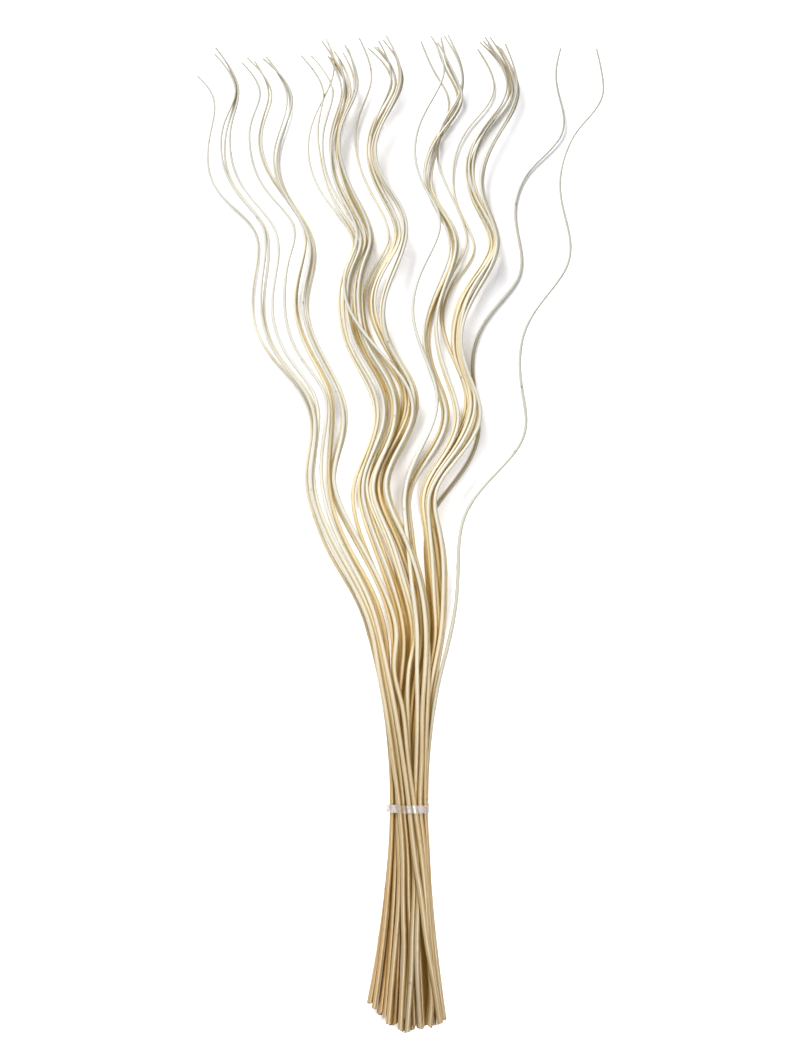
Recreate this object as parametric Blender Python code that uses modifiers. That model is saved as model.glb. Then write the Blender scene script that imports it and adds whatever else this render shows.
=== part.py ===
"""A bunch of peeled curly willow stems, tied with one band of clear tape and lying flat.

The zero point is the middle of the tie's flat underside. X runs to the right, Y runs along the bunch
towards the tips, and Z is the height above the surface that the bunch lies on. Sizes are in
millimetres, and the objects are made in metres.
"""

import math
from collections import namedtuple

import bpy
import numpy as np
from mathutils import Matrix

MM = 0.001

# The stems: their radius at the cut end and at the tip, and how the taper bends between the two
BUTT_RADIUS = 2.95
TIP_RADIUS = 1.05
TAPER_POWER = 0.85
STEM_SIDES = 5

# The tie: most stems lie in it in rows, counted from the lowest, and the top stems lie across them
TIE_ROWS = (7, 8, 8, 8, 8)
ROW_THICKNESS = (0.88, 0.85, 0.85, 0.85, 0.85)
TOP_THICKNESS = 0.96
THICKNESS_STRAY = 0.02
TIE_WIDTH = 8.0
TAPE_THICKNESS = 0.7
TIE_SIDES = 28
# The tape's free end stands out on the left, a little above the middle
TAB_LENGTH = 4.5
TAB_WIDTH = 6.5
TAB_HEIGHT = 21.0

# Clear space between two stems: where the tie holds them, and where one lies on another
TIE_GAP = 0.44
GAP = 0.22

# Near the tie every stem runs straight for this far each way, and the stems in the rows along Y
TIE_REACH = 6.0
# Above this height the routes are read from the lists below, and under it the stems draw in to the tie
NECK_HEIGHT = 168.0
NECK_GUIDES = (44.0, 84.0, 126.0)
NECK_POWER = 2.1

# The fan of cut ends: its middle in the lowest and the highest row, each row's half width, and its ends
BUTT_MIDDLE = (-7.0, 0.0)
BUTT_HALF_WIDTH = (31.0, 34.0, 36.0, 37.0, 35.0)
BUTT_POWER = 1.7
BUTT_GUIDES = 6
BUTT_STRAY = 3.5
# The cut ends' line: the middle reaches furthest down, and past these two places it slants up
BUTT_END = -219.0
LEFT_CUT_FROM = -12.0
LEFT_CUT_SLOPE = 0.9
RIGHT_CUT_FROM = 10.0
RIGHT_CUT_SLOPE = 0.35
CUT_STRAY = (-4.0, 3.0)

# The points on a stem: below the tie and above it, and how many of them a straight run still gets
BUTT_POINTS = 5
TOP_BUTT_POINTS = 9
UPPER_POINTS = 30
COURSE_STEP = 0.5
STRAIGHT_CLOSENESS = 0.02
# Stems are kept apart at this step along Y, and each is looked at this many steps up and down a neighbour
STEP = 1.0
REACH_STEPS = 8
# How a stem is laid: rounds of lifting it clear, how many of the first also ease its line, and how much
LIFT_ROUNDS = 60
EASE_ROUNDS = 24
EASE_SHARE = 0.5

SEED = 4

Group = namedtuple("Group", "heights strands")
# A strand is one stem, or a few that run together. tops has the points above the first height, from the
# tip down, one list a stem. spread is half the width that the stems share, and places has their middle at
# each of the group's heights.
Strand = namedtuple("Strand", "spread tops places")

FAR_LEFT = Group(
    heights=(716, 688, 658, 618, 578, 561, 510, 448, 418, 383, 328, 288, 248, 208, 168),
    strands=(
        Strand(0, [[(-212, 733)]],
               (-198, -196.5, -201.5, -191, -155, -151.5, -157.5, -134.5, -108.5, -97.5, -103, -93.5, -76,
                -52.5, -38.5)),
        Strand(0, [[(-194, 753)]],
               (-173, -183, -187.5, -174, -145, -143.5, -148, -129, -105, -93.5, -98, -89, -70, -48.5, -35)),
        Strand(0, [[(-189, 755)]],
               (-172, -179, -184, -172, -143, -140, -144.5, -127, -103, -92, -96.5, -87, -68, -46, -33)),
        Strand(0, [[(-193, 759)]],
               (-170, -176, -178.5, -164, -134, -130.5, -136.5, -118.5, -97, -90.5, -95, -85, -65, -44, -31)),
        Strand(0, [[(-167, 745)]],
               (-149, -157, -158.5, -143, -114.5, -117, -124.5, -106.5, -86, -83.5, -87.5, -78, -59.5, -39.5,
                -28)),
        Strand(1.4, [[(-161.5, 750)], [(-154.5, 747)]],
               (-139, -145.5, -148, -128.5, -104, -104, -113.5, -95, -80, -77, -80, -72.5, -54, -34, -24)),
        Strand(2.5, [[(-146, 749)], [(-143, 752)], [(-138, 745)]],
               (-120.5, -123, -132, -126, -102, -97, -103.5, -86, -71, -65, -76, -63, -42, -23, -14)),
    ))

LEFT = Group(
    heights=(718, 688, 660, 623, 593, 568, 543, 508, 458, 423, 390, 358, 323, 278, 228, 168),
    strands=(
        Strand(0, [[(-108, 753)]],
               (-86, -90.5, -90, -82, -66, -52, -59, -65.5, -57, -37.5, -31, -39, -49.5, -41, -23, -8)),
        Strand(0, [[(-83, 770), (-75, 744)]],
               (-82, -96, -101, -91.5, -70, -56, -63, -70, -60, -42, -34, -42, -55, -50, -30, -12)),
        Strand(0, [[(-98, 753)]],
               (-76.5, -83, -86.5, -78, -60, -48, -56, -62, -51, -31, -25, -35, -46, -36, -18, -5)),
        Strand(4.5, [[(-87.5, 768)], [(-81, 752)], [(-79, 752)], [(-75, 758)]],
               (-63, -71, -75.5, -67, -53, -43, -51, -58, -46, -26, -20, -30, -42, -30, -13, -1)),
        Strand(0, [[(-72, 754)]],
               (-65, -73, -78, -73, -58, -52, -61, -63, -31, -3, 3, -11, -23, -8, 10, 17)),
        Strand(2, [[(-66, 756)], [(-64, 762)], [(-61, 760)]],
               (-54, -67, -71, -60, -45, -38, -45, -49, -37, -17, -13, -23, -36, -23, -7, 4)),
    ))

MIDDLE = Group(
    heights=(728, 696, 658, 623, 593, 568, 543, 505, 458, 423, 398, 358, 323, 278, 228, 168),
    strands=(
        Strand(0, [[(-50, 771)]],
               (-38, -49, -53, -41.5, -26, -21, -33.5, -45.5, -31, -8.5, -7, -22, -32, -17, 1, 10)),
        Strand(3, [[(-41, 760)], [(-35, 762)], [(-32, 761)], [(-30.5, 767)]],
               (-15.5, -28.5, -39, -31, -16, -12, -25, -37, -20, -3, -0.5, -17, -28, -13, 5, 13)),
        Strand(2, [[(-26, 768)], [(-23, 772)], [(-19, 766)]],
               (-8, -21, -35, -23.5, -6.5, -5, -13, -25.5, -17, 3, 6, -9, -22, -7, 11, 18)),
    ))

RIGHT = Group(
    heights=(733, 710, 683, 656, 618, 590, 565, 538, 493, 448, 418, 390, 358, 318, 273, 223, 168),
    strands=(
        Strand(0, [[(12, 768)]],
               (28, 39.5, 34.5, 28.5, 40, 52.5, 57.5, 45, 32, 45, 56, 54, 37, 17, 17, 22, 25)),
        Strand(0, [[(22, 772)]],
               (34.5, 24, 10.5, 6, 17, 30.5, 26, 13, 4, 17, 27, 25.5, 11, -3.5, -2, 3, 8.5)),
        Strand(3, [[(27, 767)], [(29, 766)], [(32, 772)]],
               (43, 51.5, 37, 21.5, 20, 34.5, 43.5, 38, 20, 19.5, 31, 36.5, 23, 0, 1, 6, 12)),
        Strand(1.5, [[(35, 773)], [(39, 774)]],
               (53.5, 49.5, 34, 26.5, 22, 39, 48, 42, 28, 32, 42, 48, 37, 15, 18, 23, 27)),
    ))

FAR_RIGHT = Group(
    heights=(711, 683, 643, 608, 583, 560, 533, 483, 443, 413, 393, 358, 318, 273, 223, 168),
    strands=(
        Strand(0, [[(69, 760)]],
               (82.5, 61, 44.5, 47, 58, 65, 50, 34, 48, 59, 59, 41, 20, 20, 25, 27)),
        Strand(4, [[(71, 766)], [(74, 767)], [(76, 770)], [(79, 766)], [(81, 772)], [(86, 758)]],
               (99, 79, 61, 67.5, 80, 84, 68, 48, 52, 63, 63, 48, 24, 25, 28, 29)),
        Strand(1.5, [[(89, 762)], [(92, 760)], [(96, 764)]],
               (108, 95, 75.5, 75.5, 85, 88, 77, 53, 55, 66, 70, 54, 27, 31, 35, 32)),
    ))

# Two stems stand apart on the right, and each has heights of its own
INNER_LONER = Group(
    heights=(740, 708, 682, 668, 642, 618, 595, 565, 546, 528, 502, 478, 446, 413, 378, 353, 318, 286, 258,
             218, 168),
    strands=(
        Strand(0, [[(152, 761)]],
               (147.5, 151.5, 155, 149, 124, 110, 106.5, 111, 113, 108.5, 88, 72, 64, 67, 70, 63.5, 40, 20,
                17, 19, 22)),
    ))

OUTER_LONER = Group(
    heights=(744, 720, 706, 681, 652, 622, 588, 560, 540, 512, 480, 448, 418, 390, 368, 338, 308, 290, 263,
             233, 202, 168),
    strands=(
        Strand(0, [[(187.5, 760)]],
               (190.5, 194.5, 191, 171, 156, 151, 157, 161.5, 157, 137, 117, 111, 113, 117, 113, 90, 64, 55,
                50, 49, 46.5, 40)),
    ))

GROUPS = (FAR_LEFT, LEFT, MIDDLE, RIGHT, FAR_RIGHT, INNER_LONER, OUTER_LONER)

# The stems that lie on top, in the order they are laid. number counts all the stems from the left by
# their tips, end is the middle of the cut end, and places are at the heights under this line.
TOP_HEIGHTS = (140, 112, 84, 56, 28, 0, -28, -56, -84, -112, -140, -168, -196)
Top = namedtuple("Top", "number end places")
TOP_STEMS = (
    Top(28, (19, -214), (19.5, 18.5, 17, 16.5, 16, 16, 17.5, 19, 20, 21.5, 22.5, 22, 21)),
    Top(3, (-20.5, -215), (-27, -21.5, -17.5, -14, -12, -11, -10.5, -9.5, -10, -11.5, -14, -16.5, -19)),
    Top(4, (-4.5, -210), (-25, -20, -15, -11, -7.5, -5, -2.5, -1, -0.5, 0.5, 1, -1, -3.5)),
    Top(20, (-2, -223), (0, -1, -0.5, 0, 0, 0.5, 2.5, 5, 5, 4, 3, 2, 0)),
    Top(31, (11.5, -219), (8, 8.5, 8, 7.5, 7, 6, 7.5, 9, 9.5, 8.5, 8, 8.5, 10)),
    Top(18, (32.5, -212), (16, 14, 13, 12.5, 12, 11, 14, 16.5, 19, 21, 23.5, 26.5, 30.5)),
    Top(2, (-8.5, -221), (-30.5, -25, -21, -17, -12.5, -9.5, -7, -6, -6, -5.5, -5, -6, -7.5)),
    Top(8, (20.5, -217), (-15, -9, -4.5, -1.5, 2, 6, 10, 13.5, 16, 18, 20, 21.5, 22.5)),
    Top(5, (31, -214), (-22, -16.5, -11, -7, -3, 0.5, 3.5, 7, 11.5, 15, 19, 24, 28.5)),
)

# How the stems of one strand wind about each other: one turn takes this far
LANE_TURN = 520.0

# Heights above the tie: how far the stems take to settle, how high the top stems then hover, how much
# higher than that a stem may lie, and how far the lowest would sag if the surface did not hold them
SETTLE_LENGTH = 230.0
HOVER_TOP = 16.0
HOVER_STRAY = 3.0
SAG = 5.0
# The waves up and down: their height in the top stems, the share of it in the lowest, the least share
# that a stem is given, their length and how much it strays, and how far a strand's waves are out of step
WAVE_HEIGHT = 11.0
WAVE_LOWEST_ROW = 0.5
WAVE_LEAST = 0.4
WAVE_LENGTH = 150.0
WAVE_STRAY = 0.08
WAVE_SHIFT = 0.8
# The tips lift or dip from this height on. The cut ends sink by a share of their height in the tie, and
# spring up or down from there.
TIP_RISE = 9.0
TIP_DIP = 0.2
TIP_RISE_FROM = 590.0
BUTT_SINK = 0.35
BUTT_RISE = 5.0
BUTT_DIP = 0.4

# Looks in the model: the wood, how much each stem's shade strays from it, and the tape
WOOD_COLOUR = np.array([0.72, 0.58, 0.36])
WOOD_SHADES = (0.9, 1.05)
WOOD_ROUGHNESS = 0.5
TAPE_COLOUR = np.array([0.86, 0.86, 0.84])
TAPE_ROUGHNESS = 0.2
TAPE_ALPHA = 0.5


def smooth_curve(knots, values, at):
    """Read a natural cubic spline through (knots, values) at other places. The knots rise."""
    gaps = np.diff(knots)
    slopes = np.diff(values) / gaps
    count = len(knots)
    bend = np.zeros((count, count))
    bend[0, 0] = bend[-1, -1] = 1.0
    inner = np.arange(1, count - 1)
    bend[inner, inner - 1] = gaps[:-1]
    bend[inner, inner] = 2.0 * (gaps[:-1] + gaps[1:])
    bend[inner, inner + 1] = gaps[1:]
    change = np.zeros(count)
    change[1:-1] = 6.0 * np.diff(slopes)
    second = np.linalg.solve(bend, change)
    span = np.clip(np.searchsorted(knots, at) - 1, 0, count - 2)
    gap = gaps[span]
    left = (knots[span + 1] - at) / gap
    right = 1.0 - left
    straight = left * values[span] + right * values[span + 1]
    curved = (left ** 3 - left) * second[span] + (right ** 3 - right) * second[span + 1]
    return straight + curved * gap ** 2 / 6.0


def smoothstep(amount):
    """Rise from 0 to 1 with level ends."""
    amount = np.clip(amount, 0.0, 1.0)
    return amount * amount * (3.0 - 2.0 * amount)


class Stem:
    """One stem: its route seen from above, then its place in the tie and its heights."""

    def __init__(self, heights, places):
        order = np.argsort(heights)
        self.heights = np.array(heights, float)[order]
        self.places = np.array(places, float)[order]
        self.tip = self.heights[-1]
        self.top = None


def read_routes(draw):
    """Make a stem for each tip in the lists, left to right, down to the neck."""
    stems = []
    for group in GROUPS:
        heights = np.array(group.heights, float)
        for strand in group.strands:
            count = len(strand.tops)
            start = draw.uniform(0.0, 2.0 * math.pi)
            for number, top in enumerate(strand.tops):
                phase = start + 2.0 * math.pi * number / count
                swing = np.sin(phase + 2.0 * math.pi * heights / LANE_TURN)
                places = np.array(strand.places, float) + strand.spread * swing
                top_x = [point[0] for point in top]
                top_y = [point[1] for point in top]
                stem = Stem(top_y + list(heights), top_x + list(places))
                stem.swing = start + draw.uniform(-WAVE_SHIFT, WAVE_SHIFT)
                stems.append(stem)
    return stems


def tie_slots():
    """List the tie's slots as (row, place in the row), ordered by how far along its row each lies."""
    slots = [(row, place) for row, count in enumerate(TIE_ROWS) for place in range(count)]
    return sorted(slots, key=lambda slot: ((slot[1] + 0.5) / TIE_ROWS[slot[0]], slot[0]))


def thickness_at(stem, y):
    """Radius of a stem at a height: it tapers from the cut end to the tip."""
    share = (stem.tip - y) / (stem.tip - stem.butt)
    taper = np.clip(share, 0.0, 1.0) ** TAPER_POWER
    return stem.thickness * (TIP_RADIUS + (BUTT_RADIUS - TIP_RADIUS) * taper)


def place_in_tie(stems, draw):
    """Give each stem its slot in the tie and its place in the fan of cut ends.

    The stems are dealt to the slots in their order across the neck, so that none has to cross a
    neighbour of its own row on the way in. The top stems are then laid over the rows.
    """
    tops = [stems[top.number - 1] for top in TOP_STEMS]
    ordered = sorted((stem for stem in stems if stem not in tops), key=lambda stem: stem.places[0])
    rows = [[] for _ in TIE_ROWS]
    for stem, (row, place) in zip(ordered, tie_slots()):
        across = 2.0 * place / (TIE_ROWS[row] - 1) - 1.0
        middle = BUTT_MIDDLE[0] + (BUTT_MIDDLE[1] - BUTT_MIDDLE[0]) * row / (len(TIE_ROWS) - 1)
        stem.row = row
        stem.place = place
        stem.thickness = ROW_THICKNESS[row] * (1.0 + draw.uniform(-THICKNESS_STRAY, THICKNESS_STRAY))
        stem.butt_x = middle + BUTT_HALF_WIDTH[row] * across
        stem.butt_x += draw.uniform(-BUTT_STRAY, BUTT_STRAY) * (1.0 - abs(across))
        left_cut = LEFT_CUT_SLOPE * max(0.0, LEFT_CUT_FROM - stem.butt_x)
        right_cut = RIGHT_CUT_SLOPE * max(0.0, stem.butt_x - RIGHT_CUT_FROM)
        stem.butt = BUTT_END + left_cut + right_cut + draw.uniform(*CUT_STRAY)
        rows[row].append(stem)
    for row in rows:
        row.sort(key=lambda stem: stem.place)
        radii = np.array([thickness_at(stem, -TIE_REACH) for stem in row])
        widths = 2.0 * radii + TIE_GAP
        lefts = np.cumsum(widths) - widths
        for stem, radius, left in zip(row, radii, lefts):
            stem.tie_radius = radius
            stem.tie_x = left + radius + TIE_GAP / 2.0 - widths.sum() / 2.0
    for top, stem in zip(TOP_STEMS, tops):
        stem.row = len(TIE_ROWS)
        stem.thickness = TOP_THICKNESS * (1.0 + draw.uniform(-THICKNESS_STRAY, THICKNESS_STRAY))
        stem.butt_x, stem.butt = top.end
        stem.tie_radius = thickness_at(stem, -TIE_REACH)
        stem.tie_x = top.places[TOP_HEIGHTS.index(0)]
        stem.top = top
    settled = []
    for layer in rows + [[stem] for stem in tops]:
        for stem in layer:
            floor = stem.tie_radius + TAPE_THICKNESS + TIE_GAP
            stem.tie_z = max([floor] + [rest_on(stem, other) for other in settled])
        settled.extend(layer)
    return settled


def rest_on(stem, other):
    """Height at which a stem in the tie just clears another one below it."""
    reach = stem.tie_radius + other.tie_radius + TIE_GAP
    across = stem.tie_x - other.tie_x
    if abs(across) >= reach:
        return 0.0
    return other.tie_z + math.sqrt(reach ** 2 - across ** 2)


def draw_route(stem):
    """Join the stem's route above the neck to its slot in the tie and its place among the cut ends."""
    if stem.top:
        knots = np.concatenate([[stem.butt], TOP_HEIGHTS[::-1], stem.heights])
        values = np.concatenate([[stem.butt_x], stem.top.places[::-1], stem.places])
        stem.y = choose_points(stem, knots, values, TOP_BUTT_POINTS)
        stem.x = smooth_curve(knots, values, stem.y)
    else:
        knots, values = row_route(stem)
        stem.y = choose_points(stem, knots, values, BUTT_POINTS)
        stem.x = smooth_curve(knots, values, stem.y)
        stem.x[np.abs(stem.y) <= TIE_REACH] = stem.tie_x
    stem.radius = thickness_at(stem, stem.y)


def row_route(stem):
    """Guides for a stem of the rows: it draws in to its slot, runs straight there and fans out below."""
    neck_x = stem.places[0]
    neck_y = np.array(NECK_GUIDES)
    neck = stem.tie_x + (neck_x - stem.tie_x) * (neck_y / NECK_HEIGHT) ** NECK_POWER
    butt_y = np.linspace(stem.butt, -2.0 * TIE_REACH, BUTT_GUIDES)
    butt = stem.tie_x + (stem.butt_x - stem.tie_x) * (butt_y / stem.butt) ** BUTT_POWER
    tie_y = np.array([-TIE_REACH, 0.0, TIE_REACH, 2.0 * TIE_REACH])
    knots = np.concatenate([butt_y, tie_y, neck_y, stem.heights])
    values = np.concatenate([butt, np.full(len(tie_y), stem.tie_x), neck, stem.places])
    return knots, values


def choose_points(stem, knots, values, butt_points):
    """Choose the heights of a stem's points: close together where it bends, and far apart on its runs."""
    fine = np.arange(TIE_REACH, stem.tip, COURSE_STEP)
    course = smooth_curve(knots, values, fine)
    slope = np.gradient(course, fine)
    bend = np.abs(np.gradient(slope, fine)) / (1.0 + slope ** 2) ** 1.5
    closeness = np.sqrt(bend) + STRAIGHT_CLOSENESS
    share = np.cumsum(closeness)
    share = (share - share[0]) / (share[-1] - share[0])
    upper = np.interp(np.linspace(0.0, 1.0, UPPER_POINTS), share, fine)
    upper[-1] = stem.tip
    lower = np.linspace(stem.butt, -TIE_REACH, butt_points)
    return np.concatenate([lower, upper])


def free_height(stem, y, draw):
    """Height of a stem where nothing lifts it: it settles from the tie to its own level, in low waves."""
    up = stem.row / len(TIE_ROWS)
    near_tie = np.exp(-np.clip(y, 0.0, None) / SETTLE_LENGTH)
    level = HOVER_TOP * up + draw.uniform(0.0, HOVER_STRAY) * (stem.row > 0) - SAG
    length = WAVE_LENGTH * (1.0 + draw.uniform(-WAVE_STRAY, WAVE_STRAY))
    crest = WAVE_HEIGHT * draw.uniform(WAVE_LEAST, 1.0) * (WAVE_LOWEST_ROW + (1.0 - WAVE_LOWEST_ROW) * up)
    wave = crest * 0.5 * (1.0 - np.cos(2.0 * math.pi * y / length + stem.swing))
    towards_tip = smoothstep((y - TIP_RISE_FROM) / (stem.tip - TIP_RISE_FROM))
    rise = TIP_RISE * draw.uniform(-TIP_DIP, 1.0) * towards_tip
    tie_lift = stem.tie_z - stem.tie_radius
    above = tie_lift * near_tie + (level + wave) * (1.0 - near_tie) + rise
    spring = BUTT_RISE * draw.uniform(-BUTT_DIP, 1.0) * up
    held_lift = tie_lift - TAPE_THICKNESS - TIE_GAP
    below = held_lift * (1.0 - BUTT_SINK * y / stem.butt) + spring * (y / stem.butt) ** 2
    lift = np.where(y >= 0.0, above, below)
    return thickness_at(stem, y) + np.maximum(lift, 0.0)


def lay_stems(stems, draw):
    """Give every stem its heights. They come in the order they are laid, and each lies on those before."""
    grid = np.arange(min(stem.butt for stem in stems), max(stem.tip for stem in stems) + STEP, STEP)
    laid = []
    for stem in stems:
        free = free_height(stem, stem.y, draw)
        in_tie = np.abs(stem.y) <= TIE_REACH
        free[in_tie] = stem.tie_z
        held = in_tie & (stem.top is None)
        inside = (grid >= stem.butt) & (grid <= stem.tip)
        over_x = np.where(inside, np.interp(grid, stem.y, stem.x), np.nan)
        over_r = np.interp(grid, stem.y, stem.radius)
        need = needed_height(grid, over_x, over_r, laid)
        stem.z = stiffen(stem.y, free, held, grid, need)
        over_z = np.where(inside, np.interp(grid, stem.y, stem.z), np.nan)
        laid.append((over_x, over_z, over_r))


def needed_height(grid, over_x, over_r, laid):
    """Least height along the grid at which a stem clears all the stems already laid."""
    need = np.full(len(grid), -np.inf)
    for under_x, under_z, under_r in laid:
        for shift in range(-REACH_STEPS, REACH_STEPS + 1):
            near_x = shifted(under_x, shift)
            near_z = shifted(under_z, shift)
            reach = over_r + shifted(under_r, shift) + GAP
            left = reach ** 2 - (over_x - near_x) ** 2 - (shift * STEP) ** 2
            touching = left > 0.0
            need[touching] = np.maximum(need[touching], near_z[touching] + np.sqrt(left[touching]))
    return need


def shifted(row, shift):
    """Move a row of values along the grid, and leave nothing where it runs out."""
    moved = np.full(len(row), np.nan)
    if shift >= 0:
        moved[shift:] = row[:len(row) - shift]
    else:
        moved[:shift] = row[-shift:]
    return moved


def stiffen(y, free, held, grid, need):
    """Lift a stem clear of what it lies on, and keep its line as smooth as a stiff stem's."""
    height = free.copy()
    for turn in range(LIFT_ROUNDS):
        if turn < EASE_ROUNDS:
            eased = ease(y, height)
            height = np.where(held, free, np.maximum(eased, free))
        short = need - np.interp(grid, y, height)
        span = np.clip(np.searchsorted(y, grid) - 1, 0, len(y) - 2)
        lift = np.zeros(len(y))
        np.maximum.at(lift, span, short)
        np.maximum.at(lift, span + 1, short)
        height = np.where(held, free, height + np.maximum(lift, 0.0))
    return height


def ease(y, height):
    """Pull each point part of the way to the straight line between its two neighbours."""
    share = (y[1:-1] - y[:-2]) / (y[2:] - y[:-2])
    line = height[:-2] * (1.0 - share) + height[2:] * share
    eased = height.copy()
    eased[1:-1] += EASE_SHARE * (line - height[1:-1])
    return eased


def make_material(name, colour, roughness, alpha=1.0):
    """Principled material in one plain colour."""
    material = bpy.data.materials.new(name)
    material.use_nodes = True
    shader = material.node_tree.nodes["Principled BSDF"]
    shader.inputs["Base Color"].default_value = (*colour, 1.0)
    shader.inputs["Roughness"].default_value = roughness
    shader.inputs["Metallic"].default_value = 0.0
    shader.inputs["Alpha"].default_value = alpha
    return material


def add_collection(name):
    """New collection in the scene."""
    collection = bpy.data.collections.new(name)
    bpy.context.scene.collection.children.link(collection)
    return collection


def make_section(guides):
    """The stem's cross-section: a regular outline with a radius of one millimetre."""
    curve = bpy.data.curves.new("stem_section", "CURVE")
    curve.dimensions = "2D"
    spline = curve.splines.new("POLY")
    spline.points.add(STEM_SIDES - 1)
    spline.use_cyclic_u = True
    for number, point in enumerate(spline.points):
        turn = -2.0 * math.pi * number / STEM_SIDES
        point.co = (MM * math.cos(turn), MM * math.sin(turn), 0.0, 1.0)
    section = bpy.data.objects.new("stem_section", curve)
    section.hide_render = True
    section.display_type = "WIRE"
    guides.objects.link(section)
    return section


def make_stem(name, stem, section, material, collection):
    """A stem is a tapered tube with closed ends along its route."""
    curve = bpy.data.curves.new(name, "CURVE")
    curve.dimensions = "3D"
    curve.bevel_mode = "OBJECT"
    curve.bevel_object = section
    curve.use_fill_caps = True
    spline = curve.splines.new("POLY")
    spline.points.add(len(stem.y) - 1)
    for point, x, y, z, radius in zip(spline.points, stem.x, stem.y, stem.z, stem.radius):
        point.co = (x * MM, y * MM, z * MM, 1.0)
        point.radius = radius
    curve.materials.append(material)
    collection.objects.link(bpy.data.objects.new(name, curve))


def tape_outline(stems):
    """Outline of the taut tape: each of its sides lies against the stem that reaches furthest that way."""
    turns = 2.0 * math.pi * np.arange(TIE_SIDES) / TIE_SIDES - math.pi / 2.0
    ways = np.stack([np.cos(turns), np.sin(turns)], axis=1)
    edges = (-TIE_WIDTH / 2.0, TIE_WIDTH / 2.0)
    centres = [(np.interp(y, stem.y, stem.x), np.interp(y, stem.y, stem.z)) for stem in stems for y in edges]
    radii = np.repeat([stem.tie_radius for stem in stems], len(edges))
    reach = (np.array(centres) @ ways.T + radii[:, None]).max(axis=0) + TIE_GAP
    corners = []
    for number in range(TIE_SIDES):
        pair = [number - 1, number]
        corners.append(np.linalg.solve(ways[pair], reach[pair]))
    return np.array(corners)


def make_tie(stems, material, collection, guides):
    """The band of tape: a strip round the outline, thickened outwards, with its free end on the left."""
    outline = tape_outline(stems)
    count = len(outline)
    vertices = [(x * MM, side * TIE_WIDTH / 2.0 * MM, z * MM) for side in (-1, 1) for x, z in outline]
    faces = [(n, count + n, count + (n + 1) % count, (n + 1) % count) for n in range(count)]
    mesh = bpy.data.meshes.new("tape_tie")
    mesh.from_pydata(vertices, [], faces)
    mesh.materials.append(material)
    tie = bpy.data.objects.new("tape_tie", mesh)
    collection.objects.link(tie)
    band = tie.modifiers.new("tape_thickness", "SOLIDIFY")
    band.thickness = TAPE_THICKNESS * MM
    band.offset = 1.0
    band.use_even_offset = True
    free_end = make_tab(outline, guides)
    joined = tie.modifiers.new("free_end", "BOOLEAN")
    joined.operation = "UNION"
    joined.solver = "EXACT"
    joined.object = free_end


def make_tab(outline, guides):
    """The free end of the tape: a short flat tab with its root inside the band's thickness."""
    side = np.interp(TAB_HEIGHT, *left_side(outline)) - TAPE_THICKNESS / 2.0
    middle = (side - TAB_LENGTH / 2.0, 0.0, TAB_HEIGHT)
    bpy.ops.mesh.primitive_cube_add(size=1.0, location=[MM * value for value in middle])
    tab = bpy.context.object
    tab.name = "tape_free_end"
    size = np.array([TAB_LENGTH, TAB_WIDTH, TAPE_THICKNESS]) * MM
    tab.data.transform(Matrix.Diagonal((*size, 1.0)))
    tab.hide_render = True
    tab.display_type = "WIRE"
    for collection in list(tab.users_collection):
        collection.objects.unlink(tab)
    guides.objects.link(tab)
    return tab


def left_side(outline):
    """Heights and places of the outline's left side, from the lowest up."""
    left = outline[outline[:, 0] < 0.0]
    left = left[np.argsort(left[:, 1])]
    return left[:, 1], left[:, 0]


def main():
    """Build the bunch."""
    for item in list(bpy.data.objects):
        bpy.data.objects.remove(item, do_unlink=True)
    parts = add_collection("curly_willow_bunch")
    guides = add_collection("guides")
    draw = np.random.default_rng(SEED)
    stems = read_routes(draw)
    laying_order = place_in_tie(stems, draw)
    for stem in stems:
        draw_route(stem)
    lay_stems(laying_order, draw)
    section = make_section(guides)
    for number, stem in enumerate(stems, start=1):
        name = f"stem_{number:02d}"
        shade = draw.uniform(*WOOD_SHADES)
        material = make_material(f"{name}_wood", WOOD_COLOUR * shade, WOOD_ROUGHNESS)
        make_stem(name, stem, section, material, parts)
    tape = make_material("clear_tape", TAPE_COLOUR, TAPE_ROUGHNESS, alpha=TAPE_ALPHA)
    make_tie(stems, tape, parts, guides)
    return stems


main()
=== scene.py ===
# %% [markdown]
# # A tied bunch of peeled curly willow
#
# The object is a bunch of 48 long willow stems. They have been peeled, dried and tied with one band of
# clear tape, and the bunch lies flat. Above the tie the stems fan out in five wavy groups and two loners.
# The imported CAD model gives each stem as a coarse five-sided tube, and this script dresses each of them
# with a fine round surface, wood material, bud scars and cut ends.

# %% Load the frame
import math

import bpy
import numpy as np
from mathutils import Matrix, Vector


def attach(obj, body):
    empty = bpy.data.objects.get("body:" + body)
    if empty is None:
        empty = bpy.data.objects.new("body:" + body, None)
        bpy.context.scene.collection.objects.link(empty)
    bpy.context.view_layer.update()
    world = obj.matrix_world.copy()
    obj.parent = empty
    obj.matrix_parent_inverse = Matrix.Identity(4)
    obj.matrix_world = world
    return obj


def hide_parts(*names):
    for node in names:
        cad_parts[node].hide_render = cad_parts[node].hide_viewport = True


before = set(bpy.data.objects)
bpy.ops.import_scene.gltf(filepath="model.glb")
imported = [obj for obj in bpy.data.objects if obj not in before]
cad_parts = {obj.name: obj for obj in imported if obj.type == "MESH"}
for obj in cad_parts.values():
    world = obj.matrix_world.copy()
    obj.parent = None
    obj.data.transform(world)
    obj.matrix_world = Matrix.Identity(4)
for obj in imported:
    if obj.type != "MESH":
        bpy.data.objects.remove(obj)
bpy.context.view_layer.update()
MM = 0.001
STEM_NAMES = sorted(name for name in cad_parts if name.startswith("stem_"))
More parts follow.
